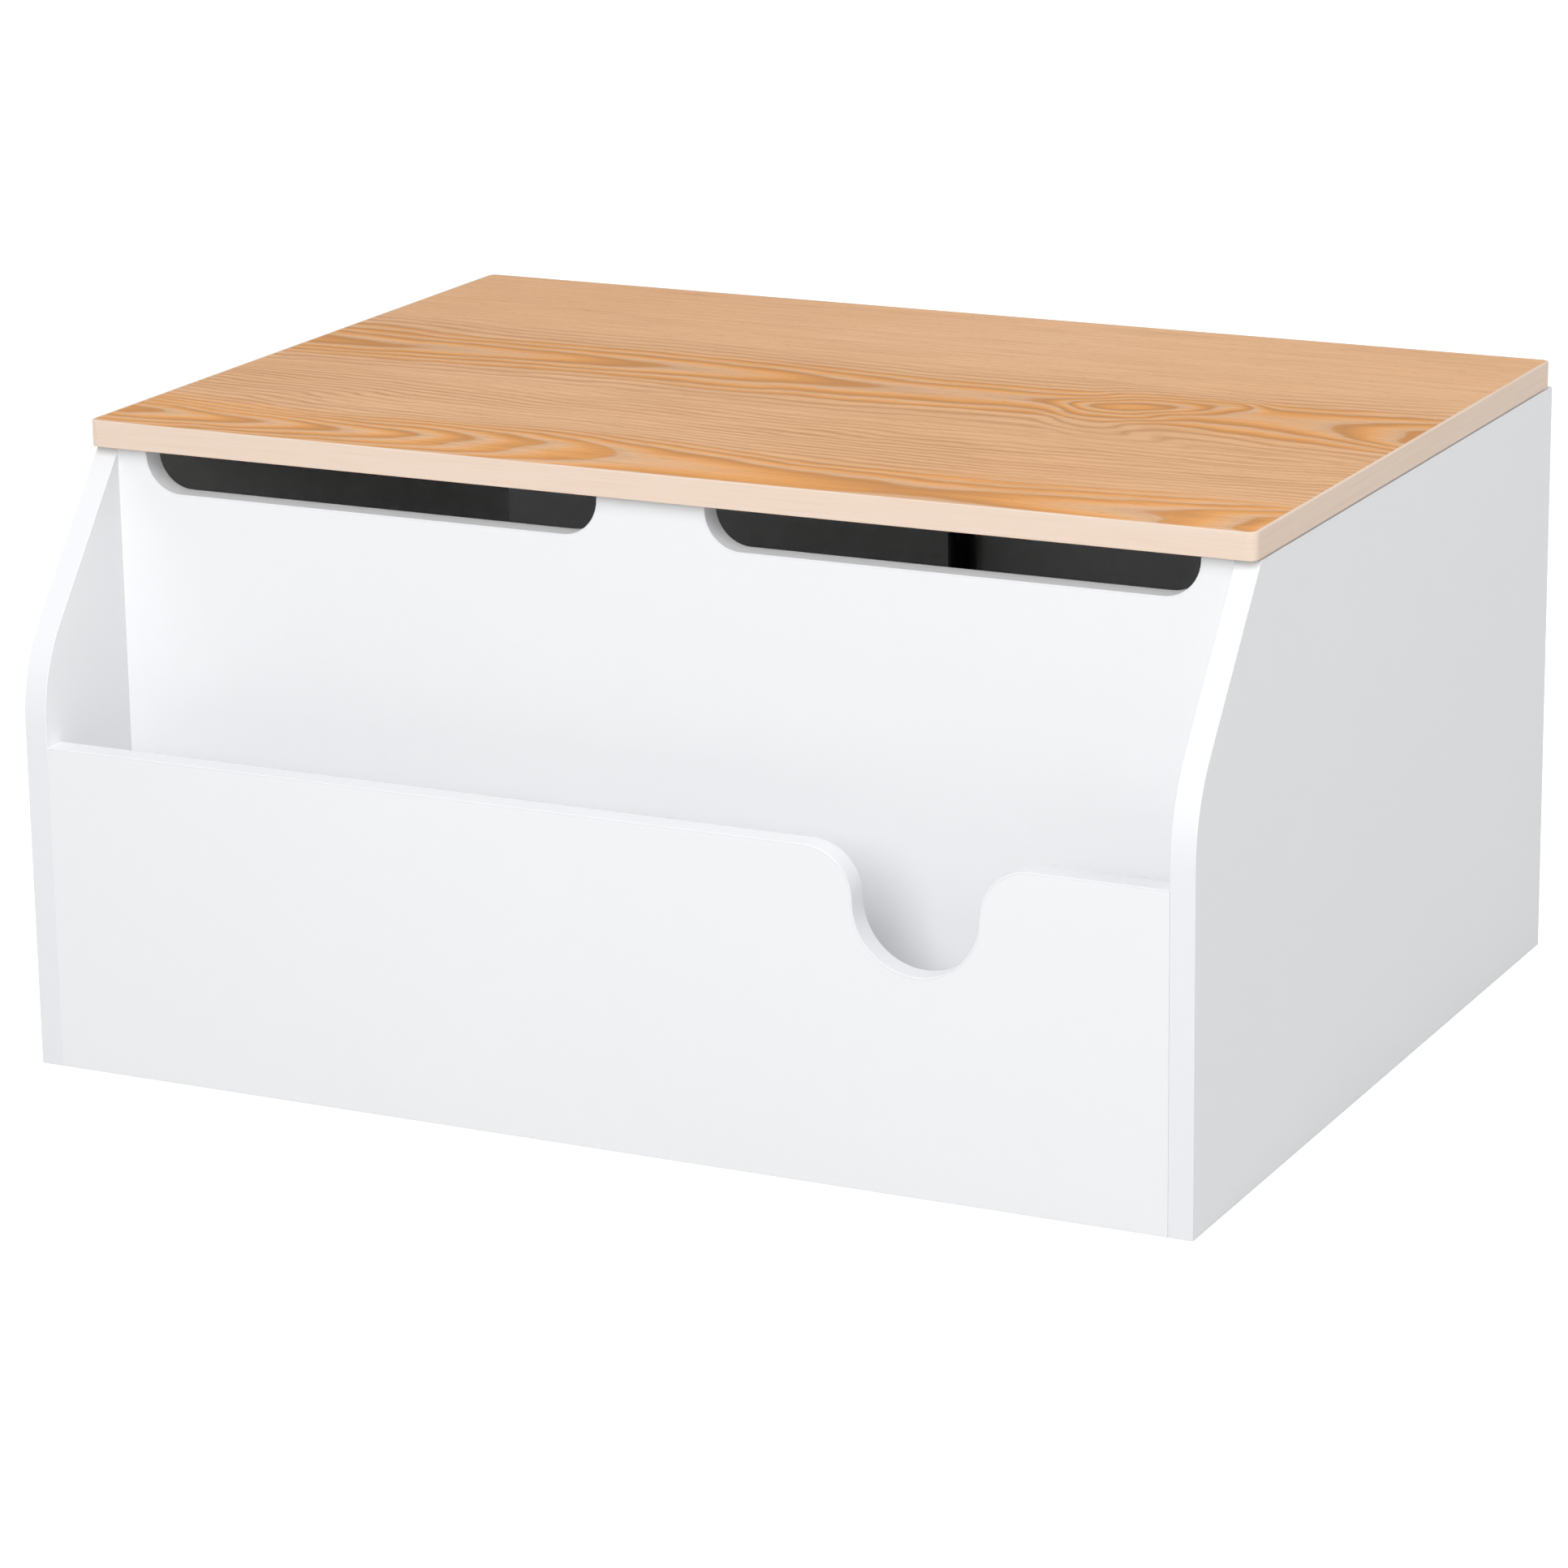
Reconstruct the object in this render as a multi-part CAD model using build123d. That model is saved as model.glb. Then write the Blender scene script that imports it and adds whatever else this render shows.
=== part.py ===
from build123d import *
import os
from math import atan2, cos, degrees, hypot, radians, sin, tan

# A toy box with a book pocket in front and a hinged lid held by a gas stay.
# Millimetres. +X is the box's right, +Y runs from front to back, +Z is up.
# The origin is on the floor, at the centre of the whole object's footprint.

# ---- Boards ----
box_width = 600.0
box_depth = 470.0
wall_height = 291.0  # top of the sides and of the inner front
board = 12.0
floor_rise = 12.0  # floor to the underside of the bottom panel
inner_front_back = 73.0  # front edge of the box to the inner front's face
book_front_height = 160.0
edge_band = 1.0
band_round = 0.4

# ---- Side panels: upright edge, round bend, slope ----
bend_above_book_front = 37.0
slope_behind_inner_front = 1.0
bend_radius = 75.0

# ---- Hand notch in the book front ----
notch_from_side = 121.5  # notch centre to the right side's inner face
notch_radius = 31.0
notch_depth = 55.5
notch_lip_radius = 24.0

# ---- Grips in the inner front's top edge ----
grip_web = 56.0  # solid middle between the two grips
grip_end = 16.0  # solid end beside each side panel
grip_depth = 20.0
grip_radius = 18.0
grip_lip_radius = 1.5

# ---- Lid ----
lid_thickness = 13.0
lid_gap = 1.0  # lid to the top of the sides
lid_front_overhang = 6.0  # past the inner front's face
lid_back_inset = 3.0  # short of the sides' back edge
lid_corner_radius = 4.5
lid_band = 1.5
lid_top_skin = 0.8
lid_under_skin = 0.5
lid_open_angle = 85.0

# ---- Hinges ----
hinge_from_end = 100.0  # hinge centre to the outside of the box
hinge_length = 50.0
hinge_knuckles = 5
leaf = 1.2  # sheet thickness
leaf_gap = 1.0
pin_radius = 1.5
box_leaf_width = 14.5
lid_leaf_width = 22.0
hinge_hole_pitch = 17.0
box_leaf_hole = 9.0  # hole line to the pin's centre
lid_leaf_hole = 15.0
knuckle_clearance = 0.3
leaf_corner_round = 2.0
pin_head = 0.8  # thickness
pin_head_share = 1.4  # of the pin's radius

# ---- Gas lid stay ----
stay_axis_side = -10.0  # stay's centre line from the middle of the box
stay_from_back = 15.0  # pivots to the back panel's inner face
stay_drop = 23.0  # upper pivot below the lid
stay_closed_length = 119.0  # between the ball centres
tube_radius = 7.5
tube_wall = 1.0
tube_start = 14.0  # lower ball centre to the tube
tube_length = 82.0
tube_cap = 2.5
tube_round = 0.8
mouth_radius = 3.6
rod_radius = 3.0
guide_length = 8.0
piston_start = 23.0
piston_length = 6.0
piston_round = 0.6
tail_radius = 1.8  # rod's tail through the piston
tail_rivet = 1.0
ball_radius = 4.0
socket_radius = 6.5
socket_half_width = 5.5
socket_neck_radius = 5.0
socket_neck = 13.8
stud_radius = 3.0
bracket = 1.5  # sheet thickness
bracket_width = 24.0
flange_width = 20.0
bracket_screw_side = 14.0
bracket_screw_pitch = 14.0
stud_neck_radius = 2.2
socket_mouth_radius = 3.6
socket_round = 0.8
thread_bottom = 7.0  # ball centre to the bottom of a socket's threaded hole
collar_radius = 4.5
collar_length = 3.8
rivet_head_radius = 4.0
rivet_round = 0.6
bracket_round = 3.0
bracket_margin = 5.0  # screw centre to the bracket's end
open_pivot_gap = 0.3  # lid ball stud to the lid bracket's flange

# ---- Knock-down fittings ----
fitting_from_edge = 40.0  # cam bolt to the board's edge
dowel_from_bolt = 32.0
cam_from_end = 24.0
cam_radius = 6.0
cam_past_middle = 3.5
cam_slot_width = 1.4
cam_slot_length = 7.0
cam_slot_depth = 2.0
cam_play = 0.2  # round the bolt's head and neck
cam_travel = 1.2  # room behind the bolt's head
bolt_shaft_radius = 3.0
bolt_shaft_length = 16.0
bolt_neck_radius = 1.6
bolt_head_radius = 2.8
bolt_head_length = 4.2
bolt_thread_radius = 2.5
fitting_chamfer = 0.8
side_skin = 2.5  # wood left behind a blind hole in a side
dowel_radius = 3.0
dowel_in_panel = 19.5
base_screw_side = 190.0

# ---- Screws ----
hinge_screw_radius = 1.5
hinge_head_radius = 2.7
box_screw_length = 16.0
lid_screw_length = 10.0
bracket_pan_screw_radius = 1.75
bracket_screw_length = 10.0
base_screw_radius = 2.5
base_screw_head = 4.0
base_screw_length = 38.0
cross_slot_width = 0.7
cross_slot_depth = 0.8
cross_slot_share = 0.55  # of the head's radius
pan_head_share = 2.0  # of the screw's radius
pan_dome_share = 1.2  # of the screw's radius
pan_flat_share = 0.6  # of the head's radius
pan_side_share = 0.4  # of the dome's height

# ---- Bumpers ----
bumper_radius = 4.0
bumper_from_slope = 18.0
bumper_from_back = 30.0
bumper_round = 0.3

# ---- Clearances ----
slip = 0.05  # a fitting in its hole
running = 0.08  # a pin, ball or rod that moves in its bore
cut_past = 1.0  # a cutter runs on past the face it opens
outside_share = 0.75  # of a band's thickness, past which an edge is on its outside

# ---- Places worked out from the sizes above ----
knuckle_radius = pin_radius + leaf
pin_head_radius = pin_radius * pin_head_share
axis_behind_back = knuckle_radius + knuckle_clearance
overall_depth = box_depth + axis_behind_back + knuckle_radius
front = -overall_depth / 2
back = front + box_depth
back_inner = back - board
inner_front = front + inner_front_back
half_width = box_width / 2
half_inner = half_width - board
floor_top = floor_rise + board
bend_height = book_front_height + bend_above_book_front
slope_top = inner_front_back + slope_behind_inner_front
lid_under = wall_height + lid_gap
lid_top = lid_under + lid_thickness
lid_front = inner_front - lid_front_overhang
lid_back = back - lid_back_inset
back_height = lid_under - 2 * leaf - leaf_gap
axis_y = back + axis_behind_back
axis_z = lid_under - leaf - leaf_gap / 2
hinge_centres = (-half_width + hinge_from_end, half_width - hinge_from_end)
notch_centre = half_inner - notch_from_side
stay_y = back_inner - stay_from_back
upper_pivot_z = lid_under - stay_drop
lower_pivot_z = upper_pivot_z - stay_closed_length
cam_depth = board / 2 + cam_past_middle
side_hole_depth = board - side_skin
socket_start = stay_closed_length - socket_neck
grip_round = min(grip_radius, grip_depth - grip_lip_radius - slip)  # the grip's side wall holds both rounds
notch_lip_round = min(notch_lip_radius, notch_depth - notch_radius - slip)


def save(node, shape):
    export_step(shape, f"parts/{node}.step")


def group(solids):
    return Compound(children=list(solids))


def block(x0, x1, y0, y1, z0, z1):
    size = Box(x1 - x0, y1 - y0, z1 - z0, align=(Align.MIN, Align.MIN, Align.MIN))
    return Pos(x0, y0, z0) * size


def bar(radius, start, direction, length):
    """A round bar that starts at a point and runs along a direction."""
    seat = Plane(origin=start, z_dir=direction)
    return seat * Cylinder(radius, length, align=(Align.CENTER, Align.CENTER, Align.MIN))


def turned(profile):
    """A turned solid about Z, from (radius, height) points."""
    return revolve(Plane.XZ * make_face(Polyline(*profile, close=True)), Axis.Z)


def corner(face, x, y):
    return face.vertices().sort_by_distance(Vector(x, y, 0))[0]


def rounded(face, x, y, radius):
    """Round the corner of a flat outline nearest to a point."""
    return fillet(corner(face, x, y), radius)


# ---------------------------------------------------------------- boards

def side_outline(inset):
    """Side panel in Y and Z, with its banded edges moved in by inset."""
    lean = atan2(slope_top, wall_height - bend_height)
    front_edge = front + inset
    bend_z = bend_height - inset * tan(lean / 2)
    top = wall_height - inset
    slope_end = front_edge + (top - bend_z) * tan(lean)
    face = make_face(Polyline((front_edge, 0), (back, 0), (back, top), (slope_end, top), (front_edge, bend_z),
                              close=True))
    return rounded(face, front_edge, bend_z, bend_radius - inset)


def book_front_outline(inset):
    """Book front in X and Z: a plain board with the round-bottomed hand notch."""
    top = book_front_height - inset
    radius = notch_radius + inset
    notch_z = book_front_height - notch_depth + notch_radius
    corners = [(-half_inner, 0), (half_inner, 0), (half_inner, top), (-half_inner, top)]
    face = make_face(Polyline(*corners, close=True))
    face -= Pos(notch_centre, notch_z) * Circle(radius)
    face -= Pos(notch_centre, notch_z) * Rectangle(2 * radius, top, align=(Align.CENTER, Align.MIN))
    for side in (-1, 1):
        face = rounded(face, notch_centre + side * radius, top, notch_lip_round - inset)
    return face


def inner_front_outline(inset):
    """Inner front in X and Z: stands on the bottom panel, with two grips in its top edge."""
    top = wall_height - inset
    grip_z = wall_height - grip_depth - inset
    near = grip_web / 2 - inset
    far = half_inner - grip_end + inset
    face = make_face(Polyline((-half_inner, floor_top), (half_inner, floor_top), (half_inner, top),
                              (-half_inner, top), close=True))
    for side in (-1, 1):
        centre = side * (near + far) / 2
        face -= Pos(centre, grip_z) * Rectangle(far - near, grip_depth * 2, align=(Align.CENTER, Align.MIN))
    for side in (-1, 1):
        for end in (near, far):
            face = rounded(face, side * end, grip_z, grip_round + inset)
            face = rounded(face, side * end, top, grip_lip_radius - inset)
    return face


def side_board(side, inset):
    inner_face = side * half_inner
    return Pos(min(inner_face, side * half_width), 0, 0) * extrude(Plane.YZ * side_outline(inset), board)


def front_board(outline, face_y):
    return Pos(0, face_y, 0) * extrude(Plane.XZ * outline, -board)


def eased(band, core_outline, along, faces, flat):
    """Round the long outer edges of a band, where its two board faces meet its outside.

    The outside lies a band's thickness off the core's outline; flat gives a point's place there.
    """
    core = core_outline.faces()[0].outer_wire()

    def is_outer(edge):
        middle = edge @ 0.5
        on_a_face = min(abs(middle.dot(along) - face) for face in faces) < slip
        return on_a_face and core.distance_to(Vertex(*flat(middle), 0)) > edge_band * outside_share

    return fillet([edge for edge in band.edges() if is_outer(edge)], band_round)


# ---------------------------------------------------------------- fittings between the boards

def panel_joints():
    """Each board that meets the sides: where its fittings run, and which face its cams open on.

    A row is the board's centre plane (as a point in Y and Z), the direction that its fittings
    are spread along, the reach of that spread, and the direction its cams face.
    """
    y, z = Vector(0, 1, 0), Vector(0, 0, 1)
    return {
        "bottom_panel": (Vector(0, 0, floor_rise + board / 2), y, front + board, back_inner, -z),
        "inner_front_panel": (Vector(0, inner_front + board / 2, 0), z, floor_top, wall_height, y),
        "back_panel": (Vector(0, back - board / 2, 0), z, 0.0, back_height, -y),
        "book_front_panel": (Vector(0, front + board / 2, 0), z, 0.0, book_front_height, y),
    }


def bolt_sites(panel):
    plane, spread, low, high, facing = panel_joints()[panel]
    for side in (-1, 1):
        for place in (low + fitting_from_edge, high - fitting_from_edge):
            yield side, plane + spread * place, facing


def dowel_sites(panel):
    plane, spread, low, high, _ = panel_joints()[panel]
    first = fitting_from_edge + dowel_from_bolt
    for side in (-1, 1):
        for place in (low + first, high - first):
            yield side, plane + spread * place


def at_side(side, point):
    """The point where a fitting's axis meets a side panel's inner face."""
    return Vector(side * half_inner, point.Y, point.Z)


def cam_bolt(side, point):
    """Threaded into the side, with its shaft, neck and head reaching into the cam."""
    tip = side_hole_depth - slip
    thread_tip = bolt_thread_radius - fitting_chamfer
    head_end = cam_from_end + bolt_head_radius / 2
    head_start = head_end - bolt_head_length
    thread = [(0, tip), (thread_tip, tip), (bolt_thread_radius, tip - fitting_chamfer)]
    root = [(bolt_thread_radius, 0), (bolt_shaft_radius, 0)]
    neck = [(bolt_shaft_radius, -bolt_shaft_length), (bolt_neck_radius, -bolt_shaft_length)]
    under_head = [(bolt_neck_radius, -head_start), (bolt_head_radius, -head_start - fitting_chamfer)]
    head = [(bolt_head_radius, -head_end + fitting_chamfer), (bolt_neck_radius, -head_end), (0, -head_end)]
    profile = thread + root + neck + under_head + head
    return Plane(origin=at_side(side, point), z_dir=(side, 0, 0)) * turned(profile)


def cam_centre(side, point):
    return at_side(side, point) - Vector(side * cam_from_end, 0, 0)


def cam_lock(side, point, facing):
    """A round cam with its cross slot, hollowed where the bolt's head sits and enters."""
    mouth = cam_centre(side, point) + facing * (board / 2)
    cam = bar(cam_radius - slip, mouth, -facing, cam_depth - slip)
    cam = chamfer(cam.edges().filter_by(GeomType.CIRCLE).sort_by_distance(mouth)[0], fitting_chamfer / 2)
    seat = Plane(origin=mouth, x_dir=(1, 0, 0), z_dir=facing)
    for turn in (45, 135):
        cam -= seat * Rot(0, 0, turn) * Box(cam_slot_width, cam_slot_length, 2 * cam_slot_depth)
    start = cam_centre(side, point) - Vector(side * (bolt_head_radius / 2 + cam_travel), 0, 0)
    cam -= bar(bolt_head_radius + cam_play, start, (side, 0, 0), bolt_head_length + cam_travel + cam_play)
    cam -= bar(bolt_neck_radius + cam_play, start, (side, 0, 0), 2 * cam_radius)
    return cam


def dowel(side, point):
    reach = side_hole_depth - slip
    total = reach + dowel_in_panel
    start = at_side(side, point) + Vector(side * reach, 0, 0)
    pin = bar(dowel_radius - slip, start, (-side, 0, 0), total)
    return chamfer(pin.edges().filter_by(GeomType.CIRCLE), fitting_chamfer)


def side_holes(side):
    """Blind holes in a side panel for the bolts and dowels of every board."""
    holes = []
    for panel in panel_joints():
        for at, point, _ in bolt_sites(panel):
            if at == side:
                start = at_side(side, point)
                holes.append(bar(bolt_thread_radius + slip, start, (side, 0, 0), side_hole_depth))
        for at, point in dowel_sites(panel):
            if at == side:
                holes.append(bar(dowel_radius, at_side(side, point), (side, 0, 0), side_hole_depth))
    return holes


def panel_holes(panel):
    """Bores in a board for its own cams, bolts and dowels."""
    holes = []
    for side, point, facing in bolt_sites(panel):
        mouth = cam_centre(side, point) + facing * (board / 2)
        holes.append(bar(cam_radius, mouth, -facing, cam_depth))
        holes.append(bar(bolt_shaft_radius + slip, at_side(side, point), (-side, 0, 0), cam_from_end))
    for side, point in dowel_sites(panel):
        holes.append(bar(dowel_radius, at_side(side, point), (-side, 0, 0), dowel_in_panel + slip))
    return holes


# ---------------------------------------------------------------- screws

def cross_slot(radius):
    across = Box(2 * radius, cross_slot_width, 2 * cross_slot_depth)
    return across + Box(cross_slot_width, 2 * radius, 2 * cross_slot_depth)


def countersunk_screw(radius, length, head_radius):
    """Along -Z, with its flat head's top at z = 0."""
    head = head_radius - radius
    shank = turned([(0, 0), (head_radius, 0), (radius, -head), (radius, radius - length), (0, -length)])
    return shank - cross_slot(head_radius * cross_slot_share)


def countersink(radius, length, head_radius):
    """The hole that a countersunk screw fills, with a slip fit all round."""
    head = head_radius - radius
    mouth = [(0, cut_past), (head_radius + slip + cut_past, cut_past), (head_radius + slip, 0)]
    return turned(mouth + [(radius + slip, -head), (radius + slip, -length - slip), (0, -length - slip)])


def pan_screw(radius, length):
    """Along -Z, with the underside of its domed head at z = 0."""
    head = radius * pan_head_share
    dome = radius * pan_dome_share
    dome_profile = [(0, dome), (head * pan_flat_share, dome), (head, dome * pan_side_share), (head, 0)]
    screw = turned(dome_profile + [(radius, 0), (radius, radius - length), (0, -length)])
    return screw - Pos(0, 0, dome) * cross_slot(head * cross_slot_share)


def box_leaf_screws():
    for centre in hinge_centres:
        for step in (-1, 0, 1):
            place = (centre + step * hinge_hole_pitch, axis_y - box_leaf_hole, back_height + leaf)
            yield Plane(origin=place)


def lid_leaf_screws():
    for centre in hinge_centres:
        for step in (-1, 0, 1):
            place = (centre + step * hinge_hole_pitch, axis_y - lid_leaf_hole, lid_under - leaf)
            yield Plane(origin=place, z_dir=(0, 0, -1))


def wall_bracket_screws():
    for step in (-1 / 2, 1 / 2):
        place = (bracket_screw_side, back_inner - bracket, lower_pivot_z + step * bracket_screw_pitch)
        yield Plane(origin=place, z_dir=(0, -1, 0))


def lid_bracket_screws():
    for step in (-1 / 2, 1 / 2):
        place = (bracket_screw_side, stay_y + step * bracket_screw_pitch, lid_under - bracket)
        yield Plane(origin=place, z_dir=(0, 0, -1))


def base_screws():
    for x in (-base_screw_side, 0, base_screw_side):
        yield Plane(origin=(x, inner_front + board / 2, floor_rise), z_dir=(0, 0, -1))


def box_screw_hole():
    return countersink(hinge_screw_radius, box_screw_length, hinge_head_radius)


def lid_screw_hole():
    return countersink(hinge_screw_radius, lid_screw_length, hinge_head_radius)


def bracket_screw_hole():
    hole = bracket_pan_screw_radius + slip
    return Cylinder(hole, 2 * (bracket_screw_length + slip))


def base_screw_hole():
    return countersink(base_screw_radius, base_screw_length, base_screw_head)


# ---------------------------------------------------------------- board nodes

def make_sides():
    for name, side in (("left", -1), ("right", 1)):
        panel = side_board(side, edge_band)
        for hole in side_holes(side):
            panel -= hole
        band = side_board(side, 0) - side_board(side, edge_band)
        faces = (side * half_inner, side * half_width)
        band = eased(band, side_outline(edge_band), Vector(1, 0, 0), faces, lambda p: (p.Y, p.Z))
        save(f"{name}_side_panel", panel)
        save(f"{name}_side_edge_band", band)


def make_fronts():
    fronts = (("book_front", book_front_outline, front), ("inner_front", inner_front_outline, inner_front))
    for name, outline, face_y in fronts:
        core = front_board(outline(edge_band), face_y)
        band = front_board(outline(0), face_y) - core
        faces = (face_y, face_y + board)
        band = eased(band, outline(edge_band), Vector(0, 1, 0), faces, lambda p: (p.X, p.Z))
        for hole in panel_holes(f"{name}_panel"):
            core -= hole
        if name == "inner_front":
            for seat in base_screws():
                core -= seat * base_screw_hole()
        save(f"{name}_panel", core)
        save(f"{name}_edge_band", band)


def make_back():
    panel = block(-half_inner, half_inner, back_inner, back, 0, back_height)
    for hole in panel_holes("back_panel"):
        panel -= hole
    for seat in box_leaf_screws():
        panel -= seat * box_screw_hole()
    for seat in wall_bracket_screws():
        panel -= seat * bracket_screw_hole()
    save("back_panel", panel)


def make_bottom():
    panel = block(-half_inner, half_inner, front + board, back_inner, floor_rise, floor_top)
    for hole in panel_holes("bottom_panel"):
        panel -= hole
    for seat in base_screws():
        panel -= seat * base_screw_hole()
    save("bottom_panel", panel)


def make_fittings():
    bolts = [cam_bolt(side, point) for p in panel_joints() for side, point, _ in bolt_sites(p)]
    cams = [cam_lock(side, point, facing) for p in panel_joints() for side, point, facing in bolt_sites(p)]
    dowels = [dowel(side, point) for p in panel_joints() for side, point in dowel_sites(p)]
    save("cam_bolts", group(bolts))
    save("cam_locks", group(cams))
    save("wood_dowels", group(dowels))
    screw = countersunk_screw(base_screw_radius, base_screw_length, base_screw_head)
    save("base_screws", group(seat * screw for seat in base_screws()))


def make_bumpers():
    bumper = Cylinder(bumper_radius, lid_gap, align=(Align.CENTER, Align.CENTER, Align.MIN))
    bumper = fillet(bumper.edges().group_by(Axis.Z)[-1], bumper_round)
    middle = half_width - board / 2
    places = (front + slope_top + bumper_from_slope, back - bumper_from_back)
    pads = [Pos(x, y, wall_height) * bumper for x in (-middle, middle) for y in places]
    save("lid_bumpers", group(pads))


# ---------------------------------------------------------------- lid

def lid_slab(inset, low, high):
    width = box_width - 2 * inset
    depth = lid_back - lid_front - 2 * inset
    outline = RectangleRounded(width, depth, lid_corner_radius - inset)
    return Pos(0, (lid_front + lid_back) / 2, low) * extrude(outline, high - low)


def make_lid():
    rim = lid_slab(0, lid_under, lid_top)
    rim = fillet(rim.edges().group_by(Axis.Z)[0] + rim.edges().group_by(Axis.Z)[-1], band_round)
    rim -= lid_slab(lid_band, lid_under - 1, lid_top + 1)
    core = lid_slab(lid_band, lid_under + lid_under_skin, lid_top - lid_top_skin)
    under = lid_slab(lid_band, lid_under, lid_under + lid_under_skin)
    for seat in lid_leaf_screws():
        core -= seat * lid_screw_hole()
        under -= seat * lid_screw_hole()
    for seat in lid_bracket_screws():
        core -= seat * bracket_screw_hole()
        under -= seat * bracket_screw_hole()
    save("lid_edge_band", rim)
    save("lid_board", core)
    save("lid_under_laminate", under)
    save("lid_top_laminate", lid_slab(lid_band, lid_top - lid_top_skin, lid_top))


# ---------------------------------------------------------------- hinges

def knuckle_spans(centre, first):
    """The X stretches of a leaf's knuckles: every other one, from the first."""
    pitch = hinge_length / hinge_knuckles
    start = centre - hinge_length / 2
    for index in range(first, hinge_knuckles, 2):
        low = start + index * pitch
        yield low + knuckle_clearance / 2, low + pitch - knuckle_clearance / 2


def hinge_leaf(centre, width, low_z, first, bore):
    """A flat leaf with its knuckles rolled round the pin's axis."""
    half = hinge_length / 2
    clear = axis_y - knuckle_radius - knuckle_clearance
    plate = block(centre - half, centre + half, axis_y - width, clear, low_z, low_z + leaf)
    corners = plate.edges().filter_by(Axis.Z).group_by(Axis.Y)[0]
    plate = fillet(corners, leaf_corner_round)
    for low, high in knuckle_spans(centre, first):
        plate += block(low, high, clear - 1, axis_y, low_z, low_z + leaf)
        plate += bar(knuckle_radius, (low, axis_y, axis_z), (1, 0, 0), high - low)
    return plate - bar(bore, (centre - half - 1, axis_y, axis_z), (1, 0, 0), hinge_length + 2)


def hinge_pin(centre):
    half = hinge_length / 2 - knuckle_clearance / 2
    pin = bar(pin_radius, (centre - half, axis_y, axis_z), (1, 0, 0), 2 * half)
    for side in (-1, 1):
        pin += bar(pin_head_radius, (centre + side * half, axis_y, axis_z), (side, 0, 0), pin_head)
    return pin


def make_hinges():
    for name, centre in zip(("left", "right"), hinge_centres):
        box_side = hinge_leaf(centre, box_leaf_width, back_height, 0, pin_radius + slip / 5)
        for seat in box_leaf_screws():
            box_side -= seat * box_screw_hole()
        lid_side = hinge_leaf(centre, lid_leaf_width, lid_under - leaf, 1, pin_radius + running)
        for seat in lid_leaf_screws():
            lid_side -= seat * lid_screw_hole()
        save(f"{name}_hinge_box_leaf", box_side)
        save(f"{name}_hinge_lid_leaf", lid_side)
        save(f"{name}_hinge_pin", hinge_pin(centre))
    box_screw = countersunk_screw(hinge_screw_radius, box_screw_length, hinge_head_radius)
    lid_screw = countersunk_screw(hinge_screw_radius, lid_screw_length, hinge_head_radius)
    save("hinge_box_screws", group(seat * box_screw for seat in box_leaf_screws()))
    save("hinge_lid_screws", group(seat * lid_screw for seat in lid_leaf_screws()))


# ---------------------------------------------------------------- lid stay

def on_stay(height):
    """A point on the stay's centre line, measured up from the lower ball."""
    return Vector(stay_axis_side, stay_y, lower_pivot_z + height)


def toward_flange(centre):
    """A seat at a ball's centre whose axis points at the bracket's flange."""
    return Plane(origin=centre, z_dir=(1, 0, 0))


def ball_stud(centre, flange_gap):
    """A ball on a short neck, with a collar that stops a gap short of the flange."""
    to_flange = -stay_axis_side - flange_gap
    stud = Sphere(ball_radius)
    stud += Cylinder(stud_neck_radius, to_flange, align=(Align.CENTER, Align.CENTER, Align.MIN))
    collar_height = collar_length - flange_gap
    collar = Cylinder(collar_radius, collar_height, align=(Align.CENTER, Align.CENTER, Align.MAX))
    return toward_flange(centre) * (stud + Pos(0, 0, to_flange) * collar)


def riveted_shank(centre):
    """The stud's end, through its flange and headed over on the far side."""
    start = Vector(0, centre.Y, centre.Z)
    shank = bar(stud_radius - slip, start, (1, 0, 0), bracket)
    head = bar(rivet_head_radius, start + Vector(bracket, 0, 0), (1, 0, 0), bracket)
    head = fillet(head.edges().group_by(Axis.X)[-1], rivet_round)
    return shank + head


def ball_socket(centre, up):
    """An end fitting that grips the ball, with a threaded neck towards the tube or rod."""
    axis = Vector(0, 0, up)
    body = Cylinder(socket_radius, 2 * socket_half_width)
    body = fillet(body.edges().filter_by(GeomType.CIRCLE), socket_round)
    body = toward_flange(centre) * body + bar(socket_neck_radius, centre, axis, socket_neck)
    mouth_length = 2 * socket_half_width
    mouth = Cylinder(socket_mouth_radius, mouth_length, align=(Align.CENTER, Align.CENTER, Align.MIN))
    body -= toward_flange(centre) * (Sphere(ball_radius + running) + mouth)
    return body - bar(stud_radius, centre + axis * thread_bottom, axis, socket_neck)


def make_stay_body():
    """The tube with its threaded tail and rolled-in mouth, its lower socket and its rod guide."""
    end = tube_start + tube_length
    bore = tube_radius - tube_wall
    up = (0, 0, 1)
    tube = bar(tube_radius, on_stay(tube_start), up, tube_length)
    tube = fillet(tube.edges().filter_by(GeomType.CIRCLE), tube_round)
    tube -= bar(bore, on_stay(tube_start + tube_cap), up, tube_length - tube_cap - tube_wall)
    tube -= bar(mouth_radius, on_stay(end - 2 * tube_wall), up, 3 * tube_wall)
    tail_length = tube_start - thread_bottom + tube_cap / 2
    tube += bar(stud_radius - slip, on_stay(thread_bottom + slip), up, tail_length)
    guide_start = end - tube_wall - guide_length
    guide = bar(bore - slip, on_stay(guide_start), up, guide_length - slip)
    guide -= bar(rod_radius + running, on_stay(guide_start - 1), up, guide_length + 2)
    save("stay_lower_socket", ball_socket(on_stay(0), 1))
    save("stay_tube", tube)
    save("stay_rod_guide", guide)


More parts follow.
